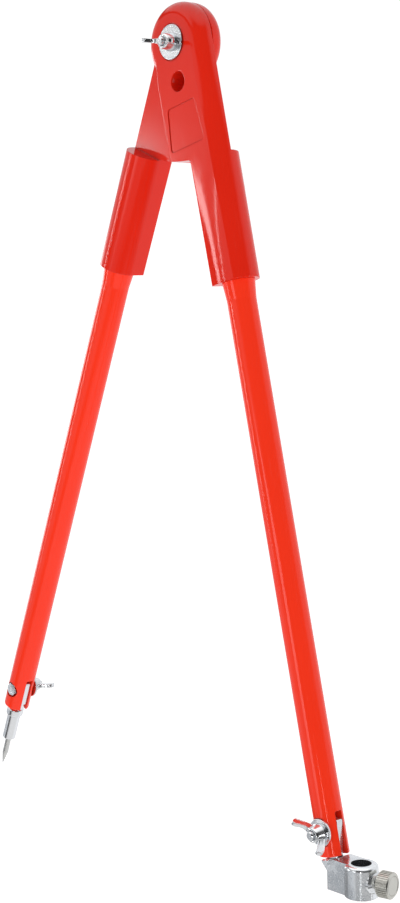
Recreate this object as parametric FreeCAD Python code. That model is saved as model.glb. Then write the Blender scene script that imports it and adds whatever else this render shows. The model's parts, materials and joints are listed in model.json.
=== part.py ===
import FreeCAD, Part
import math
import os

# Large folding compass: two identical red mouldings meet face to face on one pivot bolt,
# each carries a round leg in a socket, and each leg ends in a fork with a foot clamped by
# a wing nut. The right foot holds a marker, the left foot a steel point.
#
# All sizes are millimetres. A half and its leg are drawn in the leg's own frame: X runs
# outward across the leg, -Y is the outer face, -Z runs down the leg from the pivot, and
# the two halves meet on the plane Y = 0.

# stance
spread_deg = 17.75            # each leg leans out this far from the vertical
marker_holder_deg = 11.75     # marker holder, turned outer end down from square to the leg

# hinge half
plate_depth = 13.2            # from the meeting plane to the outer face
parting_gap = 0.2             # each half stops this far short of the meeting plane
rim_break = 0.5               # small chamfer on the rim where the halves meet
leg_offset = 13.2             # leg axis to pivot, across the leg
socket_radius = 14.8          # round of the socket, and of the rim over the head
inner_edge = 22.0             # pivot to the plate's crisp inner edge
inner_round = 1.9             # round on the crisp inner edge
head_round = 10.0             # soft round on the head's rim
soft_until = 25.0             # below the pivot, where the soft rim starts to sharpen
crisp_from = 70.0             # below the pivot, where the rim has become the socket's round
plate_end_inner = 78.4        # the plate's lower edge, at the inner side
plate_end_middle = 81.5       # the same edge, half way
plate_end_leg = 83.2          # the same edge, where it meets the socket
ledge_at = 84.0               # top of the half-round part of the socket
socket_end = 172.0            # mouth of the socket
socket_floor = 96.0           # blind end of the socket's bore
crown_drop = 0.9              # outer face falls away to its edges by this at the mouth
socket_corner = 1.6           # round on the socket's inner front corner

# details of the hinge half
hang_hole_radius = 7.0
hang_hole_at = 28.0           # below the pivot, on the plate's centre line
hang_hole_lip = 0.7
panel_top = 43.5              # shallow bare panel below the hanging hole
panel_bottom = 73.6
panel_top_half = 14.2
panel_bottom_half = 17.6
panel_shift = 0.9             # the panel's middle lies this far to the inner side
panel_depth = 0.6
panel_corner = 2.6
washer_recess = 0.8           # depth of the round seat for the pivot washer
recess_clearance = 0.8        # the seat is this much larger in radius than the washer

# leg
leg_radius = 10.25
leg_wall = 2.6
leg_end = 562.5               # from the pivot, along the leg
glue_gap = 0.05               # leg to socket, filled with adhesive
leg_top_gap = 0.5             # leg end to the socket's floor
flare_radius = 11.5           # the leg swells to this just below the socket
flare_length = 13.0
fork_solid = 48.0             # the leg is solid this far up from its end
end_round = 0.8

# fork at the foot
clamp_from_end = 16.6         # clamp bolt up from the leg's end
slot_depth = 29.1
slot_width = 6.0
slot_corner = 1.2             # round at the slot's square top
spot_depth = 1.2              # flat seat under the washer, cut into the leg's side
spot_margin = 0.5             # the seat is this much larger in radius than the washer

# M6 bolts, washers and wing nuts
bolt_radius = 3.0
running_clearance = 0.07      # bolt in a hole that turns on it
nut_clearance = 0.04          # bolt in the wing nut's thread
washer_clearance = 0.25
seat_clearance = 0.03         # between stacked faces of pieces that move apart
head_across_flats = 10.0
head_height = 4.0
pocket_radius = 6.4           # round pocket for the bolt head
pocket_sink = 0.5             # bolt head below the surface at the foot
bolt_chamfer = 0.7
bolt_spare = 2.2              # thread showing past the wing nut's hub
foot_washer_radius = 9.3
pivot_washer_radius = 12.0
washer_thickness = 1.6
washer_round = 0.3
hub_radius = 6.5
hub_top_radius = 4.9
hub_height = 7.6
wing_span = 31.0
wing_height = 14.5
wing_thickness = 3.0
wing_root = 3.4               # half the wing's width where it leaves the hub's middle
wing_tip_radius = 3.9
wing_round = 0.7
marker_nut_deg = 134.0        # turn of each foot nut's wings from square to the leg
point_nut_deg = -23.0
pivot_nut_deg = -2.0          # turn of the pivot nut's wings from the level

# tongue, the flat blade of a foot that fills the fork's slot
tongue_thickness = 5.0
tongue_half = 8.5
tongue_top = 8.5
tongue_corner = 1.5
cradle_radius = 19.2          # hollow of the foot under the leg's end, about the bolt

# marker holder, drawn from the clamp bolt: X to the ring, Z up
ring_from_bolt = 27.3
ring_top = 16.5               # below the bolt
ring_height = 21.6
ring_radius = 11.35
marker_bore_radius = 6.75
ring_lip = 2.5                # round on the ring's top outer edge
block_left = 3.5              # the block's left wall, from the bolt
block_half = 8.3
block_lip = 4.4               # the block's top overhangs its left wall by this
block_lip_height = 1.3
block_edge = 0.8
boss_radius = 8.3
boss_straight = 9.6           # the boss is round and straight out to here, from the ring's axis
boss_face_radius = 5.4
boss_reach = 12.4             # from the ring's axis to the boss's end face
screw_swing_deg = 12.0        # the screw points this far to the rear
screw_below_top = 10.8

# thumb screw
screw_radius = 2.5
screw_clearance = 0.04
screw_tip = 7.0               # tip from the ring's axis
neck_radius = 4.2
neck_length = 1.4
knob_gap = 0.4                # boss to neck
knob_radius = 8.8
knob_width = 9.6
knob_chamfer = 0.8
knob_grip = 4.5               # the screw's end reaches this far into the knob

# point holder and steel point, drawn from the clamp bolt
collar_radius = 6.9
collar_top = 19.4
collar_end = 26.4
collar_round = 1.3
barrel_radius = 5.35
barrel_end = 50.0
barrel_chamfer = 0.7
point_radius = 2.35
point_end = 76.4
point_taper = 11.0
point_tip_radius = 0.35
point_hidden = 15.0           # pressed into the barrel

V = FreeCAD.Vector
UP = V(0, 0, 1)
ORIGIN = V(0, 0, 0)

# worked out from the sizes above
rim_top = leg_offset + socket_radius
clamp_at = leg_end - clamp_from_end
head_corner = head_across_flats / math.sqrt(3)
seat_depth = plate_depth - washer_recess
flank_at = leg_offset - socket_radius
spot_face = leg_radius - spot_depth
lean = math.radians(spread_deg)
# the compass's origin is the hanging hole of the front half, at that half's meeting face
PIVOT = V(-hang_hole_at * math.sin(lean), parting_gap, hang_hole_at * math.cos(lean))


def fillet(shape, radius, wanted):
    """Round the edges that wanted() picks."""
    edges = [e for e in shape.Edges if wanted(e)]
    return shape.makeFillet(radius, edges) if edges else shape


def near(a, b, tolerance=1e-4):
    return abs(a - b) < tolerance


def box(x0, x1, y0, y1, z0, z1):
    return Part.makeBox(x1 - x0, y1 - y0, z1 - z0, V(x0, y0, z0))


def rod(radius, start, end):
    """A round bar from one point to another."""
    return Part.makeCylinder(radius, (end - start).Length, start, end - start)


def hexagon(across_flats, height, start, direction_y):
    """A hexagonal prism along Y, flats level."""
    corner = across_flats / math.sqrt(3)
    points = [V(start.x + corner * math.cos(math.radians(60 * i)), start.y,
                start.z + corner * math.sin(math.radians(60 * i))) for i in range(7)]
    return Part.Face(Part.makePolygon(points)).extrude(V(0, direction_y * height, 0))


def turned(profile, axis):
    """A solid of revolution: profile is a closed list of (radius, height) corners."""
    if axis == "Y":
        points = [V(r, h, 0) for r, h in profile]
        direction = V(0, 1, 0)
    else:
        points = [V(r, 0, h) for r, h in profile]
        direction = UP
    return Part.Face(Part.makePolygon(points + points[:1])).revolve(ORIGIN, direction, 360)


def rim_profile_head():
    """The head: a disc with a soft round on its outer rim."""
    r = head_round
    middle = r * math.sqrt(0.5)
    edges = [
        Part.makeLine(V(0, -parting_gap, 0), V(rim_top - rim_break, -parting_gap, 0)),
        Part.makeLine(V(rim_top - rim_break, -parting_gap, 0), V(rim_top, -parting_gap - rim_break, 0)),
        Part.makeLine(V(rim_top, -parting_gap - rim_break, 0), V(rim_top, -plate_depth + r, 0)),
        Part.Arc(V(rim_top, -plate_depth + r, 0), V(rim_top - r + middle, -plate_depth + r - middle, 0),
                 V(rim_top - r, -plate_depth, 0)).toShape(),
        Part.makeLine(V(rim_top - r, -plate_depth, 0), V(0, -plate_depth, 0)),
        Part.makeLine(V(0, -plate_depth, 0), V(0, -parting_gap, 0)),
    ]
    return Part.Face(Part.Wire(edges)).revolve(ORIGIN, V(0, 1, 0), 360)


def plate_section(z, inner, corner, soft):
    """The plate across the leg: inner side with a small round, flat face, soft or round outer side."""
    split_y = -plate_depth + head_round
    if soft:
        mid = head_round * math.sqrt(0.5)
        start = V(rim_top, -parting_gap - rim_break, z)
        split = V(rim_top, split_y, z)
        edge = V(rim_top - head_round, -plate_depth, z)
        lower = Part.makeLine(start, split)
        upper = Part.Arc(split, V(edge.x + mid, split_y - mid, z), edge).toShape()
    else:
        def on_round(y):
            return V(leg_offset + math.sqrt(socket_radius ** 2 - y ** 2), y, z)
        start = on_round(-parting_gap - rim_break)
        split = on_round(split_y)
        edge = on_round(-plate_depth)
        lower = Part.Arc(start, on_round(0.6 * split_y), split).toShape()
        upper = Part.Arc(split, on_round(0.5 * (split_y - plate_depth)), edge).toShape()
    cut = corner * (1 - math.sqrt(0.5))
    corner_face = V(-inner + corner, -plate_depth, z)
    corner_wall = V(-inner, -plate_depth + corner, z)
    inner_back = V(-inner, -parting_gap, z)
    rim_back = V(start.x - rim_break, -parting_gap, z)
    return Part.Wire([
        Part.makeLine(inner_back, rim_back),
        Part.makeLine(rim_back, start),
        lower,
        upper,
        Part.makeLine(edge, corner_face),
        Part.Arc(corner_face, V(-inner + cut, -plate_depth + cut, z), corner_wall).toShape(),
        Part.makeLine(corner_wall, inner_back),
    ])


def socket_section(z, drop):
    """The socket across the leg; drop is how far the outer face falls away at its edges."""
    flank = flank_at
    face_y = plate_depth - drop
    edge_x = leg_offset + math.sqrt(socket_radius ** 2 - face_y ** 2)
    inner_top = V(flank, 0, z)
    outer = V(rim_top, 0, z)
    edge = V(edge_x, -face_y, z)
    corner_a = V(flank + socket_corner, -face_y, z)
    corner_b = V(flank, -face_y + socket_corner, z)
    cut_in = socket_corner * (1 - math.sqrt(0.5))
    corner_m = V(flank + cut_in, -face_y + cut_in, z)
    crown = V(0.5 * (edge.x + corner_a.x), -plate_depth - 0.02, z)
    outer_angle = 0.5 * math.asin(face_y / socket_radius)
    outer_mid = V(leg_offset + socket_radius * math.cos(outer_angle),
                  -socket_radius * math.sin(outer_angle), z)
    return Part.Wire([
        Part.Arc(inner_top, V(leg_offset, socket_radius, z), outer).toShape(),
        Part.Arc(outer, outer_mid, edge).toShape(),
        Part.Arc(edge, crown, corner_a).toShape(),
        Part.Arc(corner_a, corner_m, corner_b).toShape(),
        Part.makeLine(corner_b, inner_top),
    ])


def hinge_half():
    """One moulding: head, plate and socket, drawn as the front half of the compass."""
    head = rim_profile_head()
    top = plate_section(0, rim_top - head_round, 0.05, True)
    shoulder = plate_section(-soft_until, inner_edge, inner_round, True)
    middle = plate_section(-crisp_from, inner_edge, inner_round, False)
    foot = plate_section(-ledge_at, inner_edge, inner_round, False)
    spans = ((top, shoulder), (shoulder, middle), (middle, foot))
    plate = [Part.makeLoft([a, b], True, True) for a, b in spans]
    socket_ends = [socket_section(-ledge_at, 0.01), socket_section(-socket_end, crown_drop)]
    socket = Part.makeLoft(socket_ends, True, True)

    # the plate's lower edge, a shallow curve from the inner side to the socket
    low_inner = V(-inner_edge, 0, -plate_end_inner)
    low_leg = V(flank_at, 0, -plate_end_leg)
    far = 2 * inner_edge
    below = Part.Face(Part.Wire([
        Part.Arc(low_inner, V(-0.45 * inner_edge, 0, -plate_end_middle), low_leg).toShape(),
        Part.makeLine(low_leg, V(flank_at, 0, -ledge_at - 1)),
        Part.makeLine(V(flank_at, 0, -ledge_at - 1), V(-far, 0, -ledge_at - 1)),
        Part.makeLine(V(-far, 0, -ledge_at - 1), V(-far, 0, -plate_end_inner)),
        Part.makeLine(V(-far, 0, -plate_end_inner), low_inner),
    ])).extrude(V(0, -2 * plate_depth, 0))
    plate = plate[0].fuse(plate[1:]).cut(below)
    half = head.fuse([plate, socket]).removeSplitter()

    # leg bore, hanging hole, pivot bore with its hexagon pocket and washer seat
    axis_top = V(leg_offset, 0, -socket_floor)
    half = half.cut(rod(leg_radius + glue_gap, axis_top, V(leg_offset, 0, -socket_end - 1)))
    through = 2 * plate_depth
    half = half.cut(rod(hang_hole_radius, V(0, 0, -hang_hole_at), V(0, -through, -hang_hole_at)))
    half = half.cut(rod(bolt_radius + running_clearance, ORIGIN, V(0, -through, 0)))
    half = half.cut(rod(pivot_washer_radius + recess_clearance, V(0, -seat_depth, 0), V(0, -through, 0)))
    half = half.cut(rod(pocket_radius, V(0, -seat_depth + head_height + pocket_sink, 0), V(0, -through, 0)))

    # bare panel
    panel = Part.Face(Part.makePolygon([
        V(-panel_shift - panel_top_half, -plate_depth, -panel_top),
        V(-panel_shift + panel_top_half, -plate_depth, -panel_top),
        V(-panel_shift + panel_bottom_half, -plate_depth, -panel_bottom),
        V(-panel_shift - panel_bottom_half, -plate_depth, -panel_bottom),
        V(-panel_shift - panel_top_half, -plate_depth, -panel_top),
    ])).extrude(V(0, panel_depth, 0))
    panel = fillet(panel, panel_corner, lambda e: len(e.Vertexes) == 2 and near(e.BoundBox.XLength, 0)
                   and near(e.BoundBox.ZLength, 0))
    half = half.cut(panel)

    # small round on the mouth of the hanging hole
    half = fillet(half, hang_hole_lip,
                  lambda e: near(e.BoundBox.YMin, -plate_depth) and near(e.BoundBox.YMax, -plate_depth)
                  and near(e.BoundBox.XLength, 2 * hang_hole_radius, 0.01))
    return half


def leg():
    """A moulded round leg: swollen root, hollow body, solid fork with a clamp hole."""
    top = -(socket_floor + leg_top_gap)
    body = rod(leg_radius, V(leg_offset, 0, top), V(leg_offset, 0, -leg_end))
    body = fillet(body, end_round,
                  lambda e: near(e.BoundBox.ZMin, -leg_end) and near(e.BoundBox.ZMax, -leg_end))
    root = Part.makeCone(flare_radius, leg_radius, flare_length, V(leg_offset, 0, -socket_end), V(0, 0, -1))
    body = body.fuse(root).removeSplitter()
    hollow = rod(leg_radius - leg_wall, V(leg_offset, 0, top + 1),
                 V(leg_offset, 0, -(leg_end - fork_solid)))
    body = body.cut(hollow)

    # slot, open at both sides and at the end, square at its top
    half_slot = 0.5 * slot_width
    reach = 2 * leg_radius
    slot_top = -(leg_end - slot_depth)
    slot = box(leg_offset - reach, leg_offset + reach, -half_slot, half_slot, -leg_end - 1, slot_top)
    slot = fillet(slot, slot_corner,
                  lambda e: near(e.BoundBox.ZMin, slot_top) and near(e.BoundBox.YLength, 0))
    body = body.cut(slot)

    # clamp hole, washer seat on the outer side, pocket for the bolt head on the meeting side
    bolt = V(leg_offset, 0, -clamp_at)
    body = body.cut(rod(bolt_radius + washer_clearance, bolt - V(0, reach, 0), bolt + V(0, reach, 0)))
    body = body.cut(rod(foot_washer_radius + spot_margin, bolt - V(0, spot_face, 0), bolt - V(0, reach, 0)))
    pocket_floor = leg_radius - pocket_sink - head_height
    body = body.cut(rod(pocket_radius, bolt + V(0, pocket_floor, 0), bolt + V(0, reach, 0)))
    return body


def bolt(head_y, end_y):
    """Hexagon bolt along -Y: the underside of its head is at head_y, its tip at end_y."""
    shank = rod(bolt_radius, V(0, head_y, 0), V(0, end_y, 0))
    shank = shank.makeChamfer(bolt_chamfer, [e for e in shank.Edges if near(e.BoundBox.YMin, end_y)
                                             and near(e.BoundBox.YMax, end_y)])
    head = hexagon(head_across_flats, head_height, V(0, head_y, 0), 1)
    head_end = head_y + head_height
    dome = turned([(0, head_y), (head_corner + 0.01, head_y), (head_corner + 0.01, head_end - bolt_chamfer),
                   (0.47 * head_across_flats, head_end), (0, head_end)], "Y")
    return head.common(dome).fuse(shank).removeSplitter()


def washer(radius, seat_y):
    """Flat washer lying against seat_y, on its -Y side."""
    ring = rod(radius, V(0, seat_y, 0), V(0, seat_y - washer_thickness, 0))
    ring = fillet(ring, washer_round, lambda e: near(e.BoundBox.XLength, 2 * radius, 0.01))
    return ring.cut(rod(bolt_radius + washer_clearance, V(0, seat_y + 1, 0),
                        V(0, seat_y - washer_thickness - 1, 0)))


def wing_nut(seat_y, turn_deg):
    """Cast wing nut with its hub against seat_y, wings rising towards -Y."""
    hub = Part.makeCone(hub_radius, hub_top_radius, hub_height, V(0, 0, 0), UP)
    hub = fillet(hub, wing_round,
                 lambda e: near(e.BoundBox.ZMin, hub_height) and near(e.BoundBox.ZMax, hub_height))
    half_span = 0.5 * wing_span
    tip = V(half_span - wing_tip_radius, 0, wing_height - wing_tip_radius)
    foot_low = V(hub_radius - 1.2, 0, 1.0)
    foot_high = V(hub_top_radius - 0.8, 0, hub_height - 0.9)
    ear = Part.Face(Part.Wire([
        Part.makeLine(V(0, 0, 1.0), foot_low),
        Part.Arc(foot_low, V(0.62 * half_span, 0, 0.34 * wing_height),
                 V(half_span - 0.12 * wing_tip_radius, 0, tip.z - 0.55 * wing_tip_radius)).toShape(),
        Part.Arc(V(half_span - 0.12 * wing_tip_radius, 0, tip.z - 0.55 * wing_tip_radius),
                 V(half_span - 0.3, 0, tip.z + 0.6 * wing_tip_radius),
                 V(tip.x, 0, wing_height)).toShape(),
        Part.Arc(V(tip.x, 0, wing_height), V(0.62 * half_span, 0, 0.76 * wing_height), foot_high).toShape(),
        Part.makeLine(foot_high, V(0, 0, hub_height - 0.9)),
        Part.makeLine(V(0, 0, hub_height - 0.9), V(0, 0, 1.0)),
    ])).extrude(V(0, 2 * wing_root, 0))
    ear.translate(V(0, -wing_root, 0))
    # from above the ear is wide at the hub and thins to an even blade
    half_blade = 0.5 * wing_thickness
    blade_from = hub_radius + 3.2
    flare = V(0.5 * (hub_top_radius + blade_from), half_blade + 0.22 * (wing_root - half_blade), 0)
    side = [Part.Arc(V(0.5 * hub_top_radius, wing_root, 0), flare, V(blade_from, half_blade, 0)).toShape(),
            Part.makeLine(V(blade_from, half_blade, 0), V(wing_span, half_blade, 0)),
            Part.makeLine(V(wing_span, half_blade, 0), V(wing_span, -half_blade, 0)),
            Part.makeLine(V(wing_span, -half_blade, 0), V(blade_from, -half_blade, 0)),
            Part.Arc(V(blade_from, -half_blade, 0), V(flare.x, -flare.y, 0),
                     V(0.5 * hub_top_radius, -wing_root, 0)).toShape(),
            Part.makeLine(V(0.5 * hub_top_radius, -wing_root, 0), V(0, -wing_root, 0)),
            Part.makeLine(V(0, -wing_root, 0), V(0, wing_root, 0)),
            Part.makeLine(V(0, wing_root, 0), V(0.5 * hub_top_radius, wing_root, 0))]
    ear = ear.common(Part.Face(Part.Wire(side)).extrude(V(0, 0, 2 * wing_height)))
    other = ear.mirror(ORIGIN, V(1, 0, 0))
    nut = hub.fuse([ear, other]).removeSplitter()
    nut = nut.cut(rod(bolt_radius + nut_clearance, V(0, 0, -1), V(0, 0, hub_height + 1)))
    nut.rotate(ORIGIN, V(1, 0, 0), 90)
    nut.rotate(ORIGIN, V(0, 1, 0), -turn_deg)
    nut.translate(V(0, seat_y, 0))
    return nut


def tongue(lower_edge):
    """Blade in the fork's slot, round the clamp bolt; lower_edge lists its bottom corners."""
    c = tongue_corner
    h = tongue_half
    points = [V(h, 0, tongue_top - c), V(h - c, 0, tongue_top), V(-h + c, 0, tongue_top),
              V(-h, 0, tongue_top - c)]
    k = c * (1 - math.sqrt(0.5))
    edges = [
        Part.Arc(points[0], V(h - k, 0, tongue_top - k), points[1]).toShape(),
        Part.makeLine(points[1], points[2]),
        Part.Arc(points[2], V(-h + k, 0, tongue_top - k), points[3]).toShape(),
    ]
    corners = [points[3]] + [V(x, 0, z) for x, z in lower_edge] + [points[0]]
    edges += [Part.makeLine(a, b) for a, b in zip(corners, corners[1:])]
    blade = Part.Face(Part.Wire(edges)).extrude(V(0, tongue_thickness, 0))
    blade.translate(V(0, -0.5 * tongue_thickness, 0))
    return blade


def bored(shape):
    """Bore a foot for its clamp bolt."""
    return shape.cut(rod(bolt_radius + running_clearance, V(0, -ring_radius, 0), V(0, ring_radius, 0)))


def screw_point(reach):
    """A point on the thumb screw's axis, this far out from the ring's axis."""
    swing = math.radians(screw_swing_deg)
    return V(ring_from_bolt + reach * math.cos(swing), reach * math.sin(swing), -ring_top - screw_below_top)


def marker_holder():
    """Die-cast marker holder: ring, block and tongue in one, with a boss for the screw."""
    bottom = -ring_top - ring_height
    ring = rod(ring_radius, V(ring_from_bolt, 0, bottom), V(ring_from_bolt, 0, -ring_top))
    ring = fillet(ring, ring_lip,
                  lambda e: near(e.BoundBox.ZMin, -ring_top) and near(e.BoundBox.ZMax, -ring_top))
    left = block_left - block_lip
    outline = [V(left, 0, -ring_top), V(ring_from_bolt, 0, -ring_top), V(ring_from_bolt, 0, bottom),
               V(block_left, 0, bottom), V(block_left, 0, -cradle_radius - block_lip_height - block_lip),
               V(left, 0, -cradle_radius - block_lip_height), V(left, 0, -ring_top)]
    block = Part.Face(Part.makePolygon(outline)).extrude(V(0, 2 * block_half, 0))
    block.translate(V(0, -block_half, 0))
    block = fillet(block, block_edge,
                   lambda e: near(e.BoundBox.XMin, block_left) and near(e.BoundBox.XMax, block_left)
                   and e.BoundBox.ZLength > 1)
    block = block.cut(rod(cradle_radius, V(0, -2 * block_half, 0), V(0, 2 * block_half, 0)))
    left_of_slot = -tongue_half
    blade = tongue([(left_of_slot, -0.55 * cradle_radius),
                    (left + 0.2, -cradle_radius - 0.8 * block_lip_height),
                    (tongue_half, -cradle_radius - 0.8 * block_lip_height)])
    boss = rod(boss_radius, screw_point(0.3 * ring_radius), screw_point(boss_straight))
    outward = screw_point(1) - screw_point(0)
    nose = Part.makeCone(boss_radius, boss_face_radius, boss_reach - boss_straight,
                         screw_point(boss_straight), outward)
    holder = ring.fuse([block, blade, boss, nose]).removeSplitter()
    holder = holder.cut(rod(marker_bore_radius, V(ring_from_bolt, 0, bottom - 1),
                            V(ring_from_bolt, 0, -ring_top + 1)))
    holder = holder.cut(rod(screw_radius + screw_clearance, screw_point(0), screw_point(boss_reach + 1)))
    return bored(holder)


def thumb_screw():
    """Turned screw of the marker holder: threaded stud with a neck; its end sits in the knob."""
    neck_start = boss_reach + knob_gap
    knob_start = neck_start + neck_length
    stud = rod(screw_radius, screw_point(screw_tip), screw_point(knob_start + knob_grip))
    return stud.fuse(rod(neck_radius, screw_point(neck_start), screw_point(knob_start))).removeSplitter()


def thumb_knob():
    """Round knurled knob on the end of the screw, with a blind hole for it."""
    knob_start = boss_reach + knob_gap + neck_length
    direction = screw_point(1) - screw_point(0)
    knob = Part.makeCylinder(knob_radius, knob_width, screw_point(knob_start), direction)
    knob = knob.makeChamfer(knob_chamfer, [e for e in knob.Edges if len(e.Vertexes) == 1])
    return knob.cut(rod(screw_radius, screw_point(knob_start - 1), screw_point(knob_start + knob_grip)))


def point_holder():
    """Turned and milled point holder: tongue, round collar and barrel."""
    body = turned([(0, -collar_top), (collar_radius, -collar_top), (collar_radius, -collar_end),
                   (barrel_radius, -collar_end), (barrel_radius, -barrel_end + barrel_chamfer),
                   (barrel_radius - barrel_chamfer, -barrel_end), (0, -barrel_end)], "Z")
    body = fillet(body, collar_round, lambda e: near(e.BoundBox.XLength, 2 * collar_radius, 0.01)
                  and near(e.BoundBox.ZLength, 0))
    blade = tongue([(-tongue_half, -0.62 * cradle_radius),
                    (-collar_radius + collar_round, -collar_top - collar_round),
                    (collar_radius - collar_round, -collar_top - collar_round),
                    (tongue_half, -0.62 * cradle_radius)])
    body = body.fuse(blade).removeSplitter()
    body = body.cut(rod(point_radius, V(0, 0, -barrel_end + point_hidden), V(0, 0, -barrel_end - 1)))
    return bored(body)


def steel_point():
    """Hardened steel pin with a ground conical tip, pressed into the barrel."""
    start = -barrel_end + point_hidden
    return turned([(0, start), (point_radius, start), (point_radius, -point_end + point_taper),
                   (point_tip_radius, -point_end), (0, -point_end)], "Z")


def on_leg(shape):
    """Move a piece drawn about a clamp bolt to its place in the leg's frame."""
    shape.translate(V(leg_offset, 0, -clamp_at))
    return shape


def placed(shape, side):
    """Stand a piece of a leg up in the compass; side is front or rear."""
    if side == "rear":
        shape.rotate(ORIGIN, UP, 180)
    shape.rotate(ORIGIN, V(0, 1, 0), -spread_deg if side == "front" else spread_deg)
    shape.translate(PIVOT)
    return shape


def foot_clamp(nut_deg):
    """Bolt, washer and wing nut of one fork, drawn about the clamp bolt."""
    head_y = leg_radius - pocket_sink - head_height
    washer_y = -spot_face - seat_clearance
    nut_y = washer_y - washer_thickness - seat_clearance
    return (bolt(head_y, nut_y - hub_height - bolt_spare), washer(foot_washer_radius, washer_y),
            wing_nut(nut_y, nut_deg))


def build():
    nodes = {}
    nodes["front_hinge_half"] = placed(hinge_half(), "front")
    nodes["rear_hinge_half"] = placed(hinge_half(), "rear")
    nodes["marker_leg"] = placed(leg(), "front")
    nodes["point_leg"] = placed(leg(), "rear")

    # pivot: the bolt's head lies in the rear half's pocket, its nut on the front
    head_y = seat_depth - head_height - pocket_sink
    washer_y = -seat_depth - seat_clearance
    nut_y = washer_y - washer_thickness - seat_clearance
    pivot_bolt = bolt(head_y, nut_y - hub_height - bolt_spare)
    pivot_bolt.rotate(ORIGIN, V(0, 1, 0), spread_deg)
    pivot_washer = washer(pivot_washer_radius, washer_y)
    pivot_nut = wing_nut(nut_y, pivot_nut_deg)
    for name, shape in (("pivot_bolt", pivot_bolt), ("pivot_washer", pivot_washer),
                        ("pivot_wing_nut", pivot_nut)):
        shape.translate(PIVOT)
        nodes[name] = shape

    # marker foot
    clamp_bolt, clamp_washer, clamp_nut = foot_clamp(marker_nut_deg)
    nodes["marker_clamp_bolt"] = placed(on_leg(clamp_bolt), "front")
    nodes["marker_clamp_washer"] = placed(on_leg(clamp_washer), "front")
    nodes["marker_clamp_wing_nut"] = placed(on_leg(clamp_nut), "front")
    for name, shape in (("marker_holder", marker_holder()), ("marker_thumb_screw", thumb_screw()),
                        ("marker_thumb_knob", thumb_knob())):
        shape.rotate(ORIGIN, V(0, 1, 0), marker_holder_deg)
        nodes[name] = placed(on_leg(shape), "front")

    # point foot
    clamp_bolt, clamp_washer, clamp_nut = foot_clamp(point_nut_deg)
    nodes["point_clamp_bolt"] = placed(on_leg(clamp_bolt), "rear")
    nodes["point_clamp_washer"] = placed(on_leg(clamp_washer), "rear")
    nodes["point_clamp_wing_nut"] = placed(on_leg(clamp_nut), "rear")
    nodes["point_holder"] = placed(on_leg(point_holder()), "rear")
    nodes["steel_point"] = placed(on_leg(steel_point()), "rear")
    return nodes


os.makedirs("parts", exist_ok=True)
for node, solid in build().items():
    solid.exportStep("parts/" + node + ".step")
    b = solid.BoundBox
    print("%-24s valid %s solids %d volume %9.1f  x %7.2f %7.2f  y %7.2f %7.2f  z %7.2f %7.2f"
          % (node, solid.isValid(), len(solid.Solids), solid.Volume, b.XMin, b.XMax, b.YMin, b.YMax,
             b.ZMin, b.ZMax))
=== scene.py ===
import json
import math

import bmesh
import bpy
from mathutils import Matrix, Vector


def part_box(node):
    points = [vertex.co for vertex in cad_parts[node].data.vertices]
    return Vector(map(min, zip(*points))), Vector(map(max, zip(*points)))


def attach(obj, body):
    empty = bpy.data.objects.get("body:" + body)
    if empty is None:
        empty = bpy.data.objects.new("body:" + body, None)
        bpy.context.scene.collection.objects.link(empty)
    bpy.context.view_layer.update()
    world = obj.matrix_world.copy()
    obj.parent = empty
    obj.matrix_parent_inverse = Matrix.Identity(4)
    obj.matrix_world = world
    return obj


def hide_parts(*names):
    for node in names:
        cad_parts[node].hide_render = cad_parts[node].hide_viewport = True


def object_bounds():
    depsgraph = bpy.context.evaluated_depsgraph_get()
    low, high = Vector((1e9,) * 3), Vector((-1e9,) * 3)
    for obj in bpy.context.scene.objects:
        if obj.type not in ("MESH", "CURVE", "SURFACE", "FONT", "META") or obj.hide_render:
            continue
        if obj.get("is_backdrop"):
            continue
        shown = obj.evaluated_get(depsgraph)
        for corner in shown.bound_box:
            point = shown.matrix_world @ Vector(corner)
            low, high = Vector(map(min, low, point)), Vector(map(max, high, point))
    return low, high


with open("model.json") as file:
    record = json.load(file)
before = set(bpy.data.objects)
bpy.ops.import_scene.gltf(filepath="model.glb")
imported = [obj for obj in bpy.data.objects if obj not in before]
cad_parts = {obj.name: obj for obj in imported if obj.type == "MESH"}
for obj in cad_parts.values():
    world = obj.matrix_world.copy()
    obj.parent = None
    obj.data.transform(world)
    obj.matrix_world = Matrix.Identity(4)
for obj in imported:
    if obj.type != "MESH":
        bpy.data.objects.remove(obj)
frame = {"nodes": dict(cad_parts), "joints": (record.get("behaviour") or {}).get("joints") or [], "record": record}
cad_low, cad_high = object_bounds()
mm = 0.001

# The camera stands in front and to the marker leg's side, a little below the pivot, and
# looks slightly down, tilted a touch, as the photograph was taken.
joints = {joint["name"]: joint for joint in frame["joints"]}
pivot = Vector(joints["leg_spread"]["pos_m"])
distance, bearing, eye_height = 1128.83 * mm, math.radians(49.23), -91.26 * mm
yaw, pitch, roll = math.radians(-1.11), math.radians(-9.84), math.radians(2.39)
focal_px, long_side_px = 1577.41, 903
sensor_width = 36

eye = pivot + Vector((distance * math.sin(bearing), -distance * math.cos(bearing), eye_height))
heading = bearing + yaw
ahead = Vector((-math.sin(heading) * math.cos(pitch), math.cos(heading) * math.cos(pitch), math.sin(pitch)))
right = Vector((math.cos(heading), math.sin(heading), 0))
upward = right.cross(ahead)
camera_data = bpy.data.cameras.new("camera")
camera_data.lens = sensor_width * focal_px / long_side_px
camera_data.sensor_width = sensor_width
camera = bpy.data.objects.new("camera", camera_data)
rolled_right = right * math.cos(roll) + upward * math.sin(roll)
rolled_up = upward * math.cos(roll) - right * math.sin(roll)
stance = Matrix((rolled_right, rolled_up, -ahead)).transposed()
camera.matrix_world = Matrix.Translation(eye) @ stance.to_4x4()
bpy.context.scene.collection.objects.link(camera)
bpy.context.scene.camera = camera
bpy.context.scene.view_settings.view_transform = "Standard"


# The studio: a bright even room with a white table. What shines sees a lit wall on the
# left, a white one behind, a dark one on the right, and tall strip lights.

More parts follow.
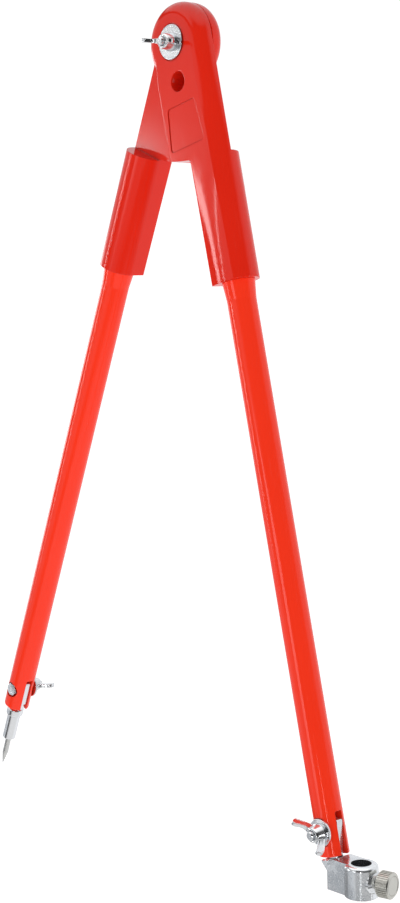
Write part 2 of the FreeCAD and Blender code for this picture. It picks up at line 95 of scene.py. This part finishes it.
class Signal:
    """A socket of a node tree that can be used in arithmetic."""

    def __init__(self, finish, socket):
        self.finish = finish
        self.socket = socket

    def maths(self, operation, a, b=0.0):
        return self.finish.node("ShaderNodeMath", {"operation": operation}, {0: a, 1: b})

    def __add__(self, other):
        return self.maths("ADD", self, other)

    __radd__ = __add__

    def __sub__(self, other):
        return self.maths("SUBTRACT", self, other)

    def __rsub__(self, other):
        return self.maths("SUBTRACT", other, self)

    def __mul__(self, other):
        return self.maths("MULTIPLY", self, other)

    __rmul__ = __mul__


class Finish:
    """A node tree for one surface: what it is made of and how its look varies."""

    def __init__(self, name, tree=None):
        if tree is None:
            self.material = bpy.data.materials.new(name)
            self.material.use_nodes = True
            tree = self.material.node_tree
        self.tree = tree
        self.tree.nodes.clear()

    def node(self, kind, settings=None, sockets=None, output=0):
        """Adds a node, sets its settings, and then sets or links its sockets.

        A ramp's stops are pairs of a place and a shade, which is a grey or a colour."""
        made = self.tree.nodes.new(kind)
        for key, value in (settings or {}).items():
            if key == "stops":
                ramp = made.color_ramp
                while len(ramp.elements) < len(value):
                    ramp.elements.new(0.5)
                for element, (place, shade) in zip(ramp.elements, value):
                    element.position = place
                    element.color = (*shade, 1) if isinstance(shade, tuple) else (shade, shade, shade, 1)
            else:
                setattr(made, key, value)
        for key, value in (sockets or {}).items():
            if isinstance(value, Signal):
                self.tree.links.new(value.socket, made.inputs[key])
            else:
                made.inputs[key].default_value = value
        return Signal(self, made.outputs[output])

    def mix(self, factor, a, b):
        return self.node("ShaderNodeMix", {"data_type": "RGBA"}, {0: factor, 6: a, 7: b}, 2)

    def vector(self, operation, a, b, output=0):
        return self.node("ShaderNodeVectorMath", {"operation": operation}, {0: a, 1: b}, output)

    def noise(self, place, scale, detail=2.0, roughness=0.5):
        return self.node("ShaderNodeTexNoise", {}, {
            "Vector": place, "Scale": scale, "Detail": detail, "Roughness": roughness})

    def place(self, centre=(0, 0, 0), turn=(0, 0, 0)):
        """The place on the piece, measured from a centre and turned."""
        here = self.node("ShaderNodeTexCoord", {}, {}, 3)
        moved = self.vector("SUBTRACT", here, centre)
        return self.node("ShaderNodeMapping", {"vector_type": "POINT"}, {"Vector": moved, "Rotation": turn})

    def steps(self, value, low, high, to_low=0.0, to_high=1.0):
        """A smooth step from to_low, where the value is low, to to_high."""
        return self.node("ShaderNodeMapRange", {"interpolation_type": "SMOOTHSTEP"}, {
            "Value": value, "From Min": low, "From Max": high, "To Min": to_low, "To Max": to_high})

    def painted_shade_mask(self, reach, low=0.45, high=0.95):
        """1 in narrow gaps and corners of the piece itself, 0 out in the open: where shade is painted into a
        colour.
        """
        open_sky = self.node("ShaderNodeAmbientOcclusion", {"samples": 8, "only_local": True},
                             {"Distance": reach}, 1)
        return self.steps(open_sky, low, high, 1.0, 0.0)

    def bump(self, height, strength, distance, **normal):
        return self.node("ShaderNodeBump", {}, {
            "Strength": strength, "Distance": distance, "Height": height, **normal})

    def shade(self, **sockets):
        """Ends the tree with a shader and gives the finished material."""
        shader = self.node("ShaderNodeBsdfPrincipled", {}, {
            name.replace("_", " "): value for name, value in sockets.items()})
        end = self.tree.nodes.new("ShaderNodeOutputMaterial")
        self.tree.links.new(shader.socket, end.inputs["Surface"])
        return self.material


# Each wall's shade by level, from 0 straight down to 1 straight up.
left_wall_shades = [
    (0.00, 0.90), (0.20, 0.70), (0.23, 0.05), (0.27, 0.05), (0.30, (0.58, 0.60, 0.63)),
    (0.40, (0.46, 0.48, 0.50)), (0.43, 0.10), (0.46, 0.10), (0.49, 0.70), (0.62, 0.76),
    (0.65, 0.05), (0.69, 0.05), (0.73, 1.1), (1.0, 1.4)]
right_wall_shades = [
    (0.00, 0.85), (0.20, 0.80), (0.23, 0.04), (0.27, 0.04), (0.30, 0.42), (0.38, 0.46), (0.43, 0.14),
    (0.48, 0.03), (0.82, 0.03), (0.90, 1.0), (1.0, 1.4)]
back_wall_white = (0.95, 0.96, 0.98, 1)

# The strip lights' brightness by level, and each one's bearing, half width and glare.
strip_levels = [(0.16, 0.0), (0.20, 0.03), (0.36, 0.03), (0.44, 1.0), (0.503, 1.0), (0.518, 0.0)]
strip_lights = ((-95, 11.0, 2.6), (-52.3, 2.0, 8.0), (-43, 0.5, 9.0), (-4, 8.0, 2.6),
                (36, 1.2, 13.0), (44, 0.5, 8.0), (109, 1.0, 9.0))
fades_from, fades_to = 0.8, 1.3      # shares of the half width

room_world = bpy.data.worlds.new("room")
room_world.use_nodes = True
room = Finish("room", room_world.node_tree)
towards = room.node("ShaderNodeTexCoord", {}, {}, 0)
level = room.node("ShaderNodeSeparateXYZ", {}, {0: towards}, 2) * 0.5 + 0.5
leftward = room.steps(room.vector("DOT_PRODUCT", towards, (-1, 0, 0), 1), -0.20, 0.30)
backward = room.steps(room.vector("DOT_PRODUCT", towards, (0, 1, 0), 1), 0.25, 0.65)
left_wall = room.node("ShaderNodeValToRGB", {"stops": left_wall_shades}, {0: level})
right_wall = room.node("ShaderNodeValToRGB", {"stops": right_wall_shades}, {0: level})
walls = room.mix(backward * 0.9, room.mix(leftward, right_wall, left_wall), back_wall_white)

level_way = room.vector("NORMALIZE", room.vector("MULTIPLY", towards, (1, 1, 0)), (0, 0, 0))
strips = 0.0
for bearing_deg, half_width_deg, glare in strip_lights:
    stands = (math.sin(math.radians(bearing_deg)), -math.cos(math.radians(bearing_deg)), 0)
    facing = room.vector("DOT_PRODUCT", level_way, stands, 1)
    edge, core = (math.cos(math.radians(half_width_deg * share)) for share in (fades_to, fades_from))
    strips = room.steps(facing, edge, core) * glare + strips
strips = strips * room.node("ShaderNodeValToRGB", {"stops": strip_levels}, {0: level})
strip_glow = room.node("ShaderNodeCombineColor", {}, {0: strips, 1: strips, 2: strips})
shining = room.node("ShaderNodeMix", {"data_type": "RGBA", "blend_type": "ADD", "clamp_result": False},
                    {0: 1.0, 6: walls, 7: strip_glow}, 2)

# The room is brighter where the camera sees it, and where it is mirrored, than as a light.
light_power, seen_extra, mirrored_extra = 0.56, 0.50, 0.44
ray = room.tree.nodes.new("ShaderNodeLightPath")
seen = Signal(room, ray.outputs["Is Camera Ray"])
mirrored = Signal(room, ray.outputs["Is Glossy Ray"])
sky = room.node("ShaderNodeBackground", {}, {
    "Color": room.mix(mirrored, (1, 1, 1, 1), shining),
    "Strength": light_power + seen * seen_extra + mirrored * mirrored_extra})
sky_end = room.tree.nodes.new("ShaderNodeOutputWorld")
room.tree.links.new(sky.socket, sky_end.inputs["Surface"])
bpy.context.scene.world = room_world

table_reach = 60
table_mesh = bpy.data.meshes.new("table_top")
sheet = bmesh.new()
bmesh.ops.create_grid(sheet, x_segments=1, y_segments=1, size=table_reach)
bmesh.ops.translate(sheet, vec=(0, 0, cad_low.z), verts=sheet.verts)
sheet.to_mesh(table_mesh)
sheet.free()
table = bpy.data.objects.new("table_top", table_mesh)
bpy.context.scene.collection.objects.link(table)
pale = Finish("pale_table")
speckle = pale.noise(pale.place(), 35, 4)
table_mesh.materials.append(pale.shade(
    Base_Color=pale.mix(speckle, (0.90, 0.90, 0.90, 1), (0.94, 0.94, 0.94, 1)), Roughness=0.75,
    Emission_Color=(1, 1, 1, 1), Emission_Strength=0.62, Specular_IOR_Level=0.0))
table.visible_glossy = False
table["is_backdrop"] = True

middle = (cad_low + cad_high) / 2


def soft_box(name, bearing_deg, height_m, away, size, power):
    """A rectangular light on a bearing (0 in front, 90 to the right) that faces the object."""
    data = bpy.data.lights.new(name, "AREA")
    data.shape = "RECTANGLE"
    data.size, data.size_y = size
    data.energy = power
    lamp = bpy.data.objects.new(name, data)
    around = math.radians(bearing_deg)
    stand = middle + Vector((math.sin(around) * away, -math.cos(around) * away, height_m))
    lamp.location = stand
    lamp.rotation_mode = "QUATERNION"
    lamp.rotation_quaternion = (middle - stand).to_track_quat("-Z", "Y")
    lamp.visible_glossy = False
    bpy.context.scene.collection.objects.link(lamp)


soft_box("front_box", bearing_deg=5, height_m=0.7, away=2.2, size=(1.2, 1.2), power=5.0)
soft_box("side_box", bearing_deg=95, height_m=0.3, away=2.2, size=(1.0, 1.4), power=6.4)


# Hinge halves: two identical injection mouldings in glossy red ABS, face to face on the
# pivot bolt. The tool was polished, so the skin is bright, with slight waves and scuffs.
nodes = frame["nodes"]
mounts = {mount["name"]: mount for mount in frame["record"]["mounts"]}
point_leg_way = Vector(mounts["point_tip"]["axis"])
lean = math.asin(-point_leg_way.x)
half_reds = ((0.72, 0.0165, 0.005, 1), (0.77, 0.022, 0.008, 1))
# The scuffed red is wear; the dark red is painted shade for gaps and corners.
scuffed_red, painted_shade_red = (0.95, 0.12, 0.07, 1), (0.20, 0.004, 0.002, 1)
edge_round = 0.7 * mm


def red_abs(name, lean, deep, light):
    """Polished red ABS whose flow marks and scuffs run along the leg."""
    moulding = Finish(name)
    here = moulding.place(turn=(0, lean, 0))
    pigment = moulding.noise(here, 14, 2)
    waves = moulding.noise(here, 60, 3)
    grain = moulding.noise(here, 1100, 2)
    drawn = moulding.vector("MULTIPLY", here, (260, 260, 22))
    scuff = moulding.steps(moulding.noise(drawn, 1.0, 4, 0.65), 0.62, 0.76)
    colour = moulding.mix(pigment, deep, light)
    colour = moulding.mix(scuff * 0.05, colour, scuffed_red)
    # Painted shade: the red darkens in the moulding's narrow gaps and corners.
    colour = moulding.mix(moulding.painted_shade_mask(1.6 * mm) * 0.5, colour, painted_shade_red)
    soft_edge = moulding.node("ShaderNodeBevel", {"samples": 6}, {"Radius": edge_round})
    skin = moulding.bump(grain * 0.12 + waves, 0.04, 0.2 * mm, Normal=soft_edge)
    return moulding.shade(
        Base_Color=colour, Roughness=0.07 + scuff * 0.12 + grain * 0.04, Normal=skin, IOR=1.40)


def dress(names, material):
    for name in names:
        for slot in nodes[name].material_slots:
            slot.material = material


dress(["front_hinge_half"], red_abs("red_abs_front_half", lean, *half_reds))
dress(["rear_hinge_half"], red_abs("red_abs_rear_half", -lean, *half_reds))


# Legs: hollow round mouldings of the same red ABS, lighter in colour, glued into the
# sockets. The lower end is solid and forked, with a flat seat for the washer on one side
# and a pocket for the bolt's head on the other.
leg_reds = ((0.92, 0.034, 0.010, 1), (0.96, 0.041, 0.013, 1))
dress(["marker_leg"], red_abs("red_abs_marker_leg", lean, *leg_reds))
dress(["point_leg"], red_abs("red_abs_point_leg", -lean, *leg_reds))


# Bolts: zinc plated steel with a rolled thread, one through the two halves and one
# through each fork. The head lies in its pocket and the end stands out of the nut.
dull_zinc, clear_zinc = (0.74, 0.76, 0.79, 1), (0.86, 0.87, 0.88, 1)
# The stained zinc is real staining; the near black zinc is painted shade.
stained_zinc, zinc_painted_shade = (0.60, 0.60, 0.62, 1), (0.10, 0.10, 0.11, 1)
thread_pitch = 1.0 * mm
thread_inner, thread_outer = 2.2 * mm, 2.6 * mm


def bright_zinc(name, bolt_middle=None):
    """Bright zinc plating over steel; on a bolt the thread winds round its axis."""
    plating = Finish(name)
    here = plating.place(bolt_middle or (0, 0, 0))
    cloud = plating.noise(here, 220, 4, 0.6)
    grain = plating.noise(here, 3000, 2)
    stain = plating.steps(plating.noise(here, 90, 5, 0.7), 0.55, 0.75)
    # Painted shade in the piece's narrow gaps and corners.
    painted_shade = plating.painted_shade_mask(1.8 * mm, 0.5, 0.98)
    height = grain * 0.5 + cloud
    if bolt_middle:
        split = plating.node("ShaderNodeSeparateXYZ", {}, {0: here})
        x, y, z = (Signal(plating, output) for output in split.socket.node.outputs)
        around = plating.node("ShaderNodeMath", {"operation": "ARCTAN2"}, {0: z, 1: x}) * (0.5 / math.pi)
        climb = y * (1 / thread_pitch) + around
        wound = plating.node("ShaderNodeMath", {"operation": "PINGPONG"}, {0: climb, 1: 0.5})
        radius = plating.vector("LENGTH", plating.vector("MULTIPLY", here, (1, 0, 1)), (0, 0, 0), 1)
        threaded = plating.steps(radius, thread_inner, thread_outer)
        height = height * 0.1 + wound * 6.0 * threaded
        # More painted shade in the roots of the thread.
        painted_shade = painted_shade + plating.steps(wound, 0.25, 0.0) * threaded * 0.5
    colour = plating.mix(cloud, dull_zinc, clear_zinc)
    colour = plating.mix(stain * 0.25, colour, stained_zinc)
    colour = plating.mix(painted_shade * 0.8, colour, zinc_painted_shade)
    return plating.shade(Base_Color=colour, Metallic=1.0, Roughness=0.13 + cloud * 0.10 + stain * 0.08,
                         Normal=plating.bump(height, 0.20, 0.09 * mm))


for bolt in ("pivot_bolt", "marker_clamp_bolt", "point_clamp_bolt"):
    low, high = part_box(bolt)
    dress([bolt], bright_zinc("zinc_" + bolt, tuple((low + high) / 2)))


# Washers: pressed from sheet steel and zinc plated. The large one lies in the round seat
# of the front half, the small ones on the flats of the forks.
dress(["pivot_washer", "marker_clamp_washer", "point_clamp_washer"], bright_zinc("zinc_washers"))


# Wing nuts: zinc alloy castings, plated bright. The hub flares to its seat, and the two
# wings are webs with a thicker, rounded rim, their roots faired into the hub.
blade = 3.0 * mm
wing_corner = 0.9 * mm
rim_width, web_depth = 0.9 * mm, 0.35 * mm
root_swell, root_reach = 0.9, 8.5 * mm
bore_face, hub_steps = 3.15, 56
casting_grain = 0.24 * mm
# Points of one wing and of the hub's section: mm from the axis, and above the seat.
wing_outline = (
    (3.5, 0.9), (6.3, 0.9), (9.2, 3.3), (12.6, 6.4), (15.3, 9.6), (15.4, 12.3), (13.7, 14.4),
    (11.3, 13.5), (9.6, 10.3), (7.3, 7.7), (5.2, 6.8), (3.5, 6.8))
hub_section = (
    (bore_face, 0.4), (3.6, 0), (6.2, 0), (6.5, 0.3), (6.3, 1.5), (5.2, 6.3), (4.8, 7.3),
    (4.4, 7.6), (3.7, 7.6), (bore_face, 7.1))


def cast_wing_nut(node, body, upright, turn_deg):
    """A casting on the seat of its CAD node, upright 1 to the front and -1 to the rear."""
    low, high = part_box(node)
    seat = Vector(((low.x + high.x) / 2, high.y if upright > 0 else low.y, (low.z + high.z) / 2))
    wing = bmesh.new()
    outline = [wing.verts.new((x * mm, 0, h * mm)) for x, h in wing_outline]
    wing.faces.new(outline)
    bmesh.ops.bevel(wing, geom=outline, offset=wing_corner, segments=3, profile=0.5, affect="VERTICES",
                    material=-1)
    pulled = bmesh.ops.extrude_face_region(wing, geom=wing.faces[:])
    raised = [item for item in pulled["geom"] if isinstance(item, bmesh.types.BMVert)]
    bmesh.ops.translate(wing, vec=(0, blade, 0), verts=raised)
    bmesh.ops.translate(wing, vec=(0, -blade / 2, 0), verts=wing.verts)
    bmesh.ops.recalc_face_normals(wing, faces=wing.faces)
    webs = [face for face in wing.faces if abs(face.normal.y) > 0.9]
    bmesh.ops.inset_individual(wing, faces=webs, thickness=rim_width, depth=-web_depth,
                               use_even_offset=False)
    for vert in wing.verts:
        vert.co.y *= 1 + root_swell * max(0.0, 1 - vert.co.x / root_reach)
    bmesh.ops.duplicate(wing, geom=wing.verts[:] + wing.edges[:] + wing.faces[:])
    wing.verts.ensure_lookup_table()
    bmesh.ops.rotate(wing, cent=(0, 0, 0), matrix=Matrix.Rotation(math.pi, 3, "Z"),
                     verts=wing.verts[len(wing.verts) // 2:])
    profile = [wing.verts.new((r * mm, 0, h * mm)) for r, h in hub_section]
    loop = [wing.edges.new((a, b)) for a, b in zip(profile, profile[1:] + profile[:1])]
    bmesh.ops.spin(wing, geom=profile + loop, cent=(0, 0, 0), axis=(0, 0, 1), angle=2 * math.pi,
                   steps=hub_steps, use_merge=True)
    bmesh.ops.recalc_face_normals(wing, faces=wing.faces)
    stand = (Matrix.Translation(seat) @ Matrix.Rotation(math.radians(turn_deg), 4, "Y")
             @ Matrix.Rotation(math.pi / 2 * upright, 4, "X"))
    bmesh.ops.transform(wing, matrix=stand, verts=wing.verts)
    mesh = bpy.data.meshes.new(node + "_casting")
    wing.to_mesh(mesh)
    wing.free()
    nut = bpy.data.objects.new(node + "_casting", mesh)
    bpy.context.scene.collection.objects.link(nut)
    faired = nut.modifiers.new("faired", "REMESH")
    faired.mode = "VOXEL"
    faired.voxel_size = casting_grain
    faired.use_smooth_shade = True
    tumbled = nut.modifiers.new("tumbled", "SMOOTH")
    tumbled.factor = 0.5
    tumbled.iterations = 5
    mesh.materials.append(cast_zinc)
    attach(nut, body)
    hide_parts(node)


cast_zinc = bright_zinc("zinc_castings")
cast_wing_nut("pivot_wing_nut", "pivot_nut", upright=1, turn_deg=2.0)
cast_wing_nut("marker_clamp_wing_nut", "marker_clamp_nut", upright=1, turn_deg=-151.75)
cast_wing_nut("point_clamp_wing_nut", "point_clamp_nut", upright=-1, turn_deg=-5.25)


# Marker holder: a zinc die casting, plated bright over a skin that was never polished, so
# it is mirror bright in places and finely grained in others. The bore takes the marker.
bore_way, bore_middle = mounts["marker_bore"]["axis"], mounts["marker_bore"]["pos_m"]
bore_radius = mounts["marker_bore"]["dims"]["r_mm"] * mm
plate_bright, plate_matt = (0.86, 0.88, 0.90, 1), (0.76, 0.79, 0.82, 1)
# The pits are grey; the two near black greys are painted shade, in the nooks and in the bore.
pit_grey, painted_shade_grey, bore_painted_shade_grey = (0.42, 0.44, 0.47, 1), (0.07, 0.07, 0.08, 1), (0.10, 0.10, 0.11, 1)
casting = Finish("plated_holder")
here = casting.place()
peel = casting.noise(here, 620, 3, 0.6)
pits = casting.steps(casting.noise(here, 900, 2), 0.56, 0.68)
matt = casting.steps(casting.noise(here, 70, 3), 0.42, 0.62)
plate = casting.mix(matt, plate_bright, plate_matt)
plate = casting.mix(pits * 0.28, plate, pit_grey)
# Painted shade in the casting's narrow gaps and corners.
plate = casting.mix(casting.painted_shade_mask(1.4 * mm) * 0.8, plate, painted_shade_grey)
# Painted shade inside the bore: its wall goes near black.
from_bore = casting.vector("CROSS_PRODUCT", casting.vector("SUBTRACT", here, bore_middle), bore_way)
off_axis = casting.vector("LENGTH", from_bore, (0, 0, 0), 1)
bore_painted_shade = casting.steps(off_axis, bore_radius + 0.25 * mm, bore_radius + 0.05 * mm)
plate = casting.mix(bore_painted_shade * 0.8, plate, bore_painted_shade_grey)
dress(["marker_holder"], casting.shade(
    Base_Color=plate, Metallic=0.88, Roughness=0.08 + matt * 0.14 + pits * 0.10,
    Normal=casting.bump(peel - pits * 0.3, 0.24, 0.08 * mm)))


# Thumb screw: a stud of turned steel, chromium plated. It runs through the boss of the
# holder's ring, and its end clamps the marker in the bore.
screw_way = -Vector(joints["thumb_screw_turn"]["axis"])
screw_root = Vector(bore_middle)
# The second colour is painted shade.
chrome_bright, chrome_painted_shade = (0.88, 0.89, 0.91), (0.08, 0.08, 0.09, 1)


def turned_metal(name, foot, axis, tint=chrome_bright, roughness=0.08):
    """Bright turned metal with the fine rings of the lathe along its axis."""
    turned = Finish(name)
    here = turned.place(foot)
    along = turned.vector("DOT_PRODUCT", here, axis, 1)
    rings = turned.node("ShaderNodeTexNoise", {"noise_dimensions": "1D"},
                        {"W": along, "Scale": 2600.0, "Detail": 3.0})
    cloud = turned.noise(here, 260, 3)
    colour = turned.mix(cloud, (*[channel * 0.92 for channel in tint], 1), (*tint, 1))
    # Painted shade in narrow gaps and corners.
    colour = turned.mix(turned.painted_shade_mask(1.2 * mm) * 0.7, colour, chrome_painted_shade)
    return turned.shade(Base_Color=colour, Metallic=1.0, Roughness=roughness + cloud * 0.08 + rings * 0.05,
                        Normal=turned.bump(rings, 0.10, 0.04 * mm))


dress(["marker_thumb_screw"], turned_metal("chrome_thumb_screw", screw_root, screw_way))


# Thumb knob: turned brass, dull nickel plated, pressed on the end of the screw. The rim
# has straight knurling between two chamfers, and the face a flat disc in a shallow groove.
knob_foot, knob_width, knob_radius = 14.2 * mm, 9.6 * mm, 8.8 * mm
knurls, knurl_height, knurl_slope = 36, 0.45 * mm, 0.10 * mm
chamfer_width, chamfer_height = 0.7 * mm, 0.8 * mm
land_width = 1.1 * mm
groove_width, groove_depth = 0.25 * mm, 0.3 * mm
disc_edge, disc_rise = 0.30 * mm, 0.18 * mm
# The last nickel colour is painted shade.
nickel_dull, nickel_clear, nickel_painted_shade = (0.61, 0.60, 0.55, 1), (0.72, 0.71, 0.66, 1), (0.09, 0.085, 0.08, 1)

knob = bmesh.new()
bmesh.ops.create_cone(knob, cap_ends=True, segments=2 * knurls, radius1=knob_radius - knurl_height,
                      radius2=knob_radius - knurl_height, depth=knob_width - 2 * chamfer_height)
rim = [face for face in knob.faces if abs(face.normal.z) < 0.5]
rim.sort(key=lambda face: math.atan2(face.calc_center_median().y, face.calc_center_median().x))
caps = [face for face in knob.faces if abs(face.normal.z) > 0.5]
bmesh.ops.inset_individual(knob, faces=rim[::2], thickness=knurl_slope, depth=knurl_height)
for cap in caps:
    for inward, outward in ((chamfer_width, chamfer_height), (land_width, 0),
                            (groove_width, -groove_depth), (disc_edge, disc_rise)):
        bmesh.ops.inset_region(knob, faces=[cap], thickness=inward, depth=outward)
bmesh.ops.recalc_face_normals(knob, faces=knob.faces)
stand = (Matrix.Translation(screw_root + screw_way * (knob_foot + knob_width / 2))
         @ Vector((0, 0, 1)).rotation_difference(screw_way).to_matrix().to_4x4())
bmesh.ops.transform(knob, matrix=stand, verts=knob.verts)
knob_mesh = bpy.data.meshes.new("knurled_thumb_knob")
knob.to_mesh(knob_mesh)
knob.free()
thumb_knob = bpy.data.objects.new("knurled_thumb_knob", knob_mesh)
bpy.context.scene.collection.objects.link(thumb_knob)

nickel = Finish("dull_nickel")
here = nickel.place(screw_root)
off_axis = nickel.vector("LENGTH", nickel.vector("CROSS_PRODUCT", here, screw_way), (0, 0, 0), 1)
cuts = nickel.node("ShaderNodeTexNoise", {"noise_dimensions": "1D"},
                   {"W": off_axis, "Scale": 3200.0, "Detail": 2.0})
bloom = nickel.noise(here, 160, 4, 0.6)
tarnish_and_painted_shade = nickel.mix(bloom, nickel_dull, nickel_clear)
# Painted shade in the knob's narrow gaps and corners, such as the groove and between the knurls.
tarnish_and_painted_shade = nickel.mix(nickel.painted_shade_mask(0.9 * mm, 0.3, 0.9) * 0.85, tarnish_and_painted_shade, nickel_painted_shade)
knob_mesh.materials.append(nickel.shade(
    Base_Color=tarnish_and_painted_shade, Metallic=1.0, Roughness=0.30 + bloom * 0.14,
    Normal=nickel.bump(cuts, 0.16, 0.05 * mm)))
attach(thumb_knob, "thumb_screw")
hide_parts("marker_thumb_knob")


# Point holder: steel turned to a barrel and milled flat for the fork, chromium plated.
# The leg's clamp bolt holds its tongue, so that it can be set at an angle.
foot = Vector(joints["point_foot_tilt"]["pos_m"])
dress(["point_holder"], turned_metal("chrome_point_holder", foot, point_leg_way))


# Steel point: a hardened pin, ground to a sharp taper and left bare. It is pressed into
# the end of the barrel and lies on the holder's axis.
point_steel = (0.70, 0.70, 0.69)
dress(["steel_point"], turned_metal("ground_steel_point", foot, point_leg_way, point_steel, 0.20))

low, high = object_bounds()
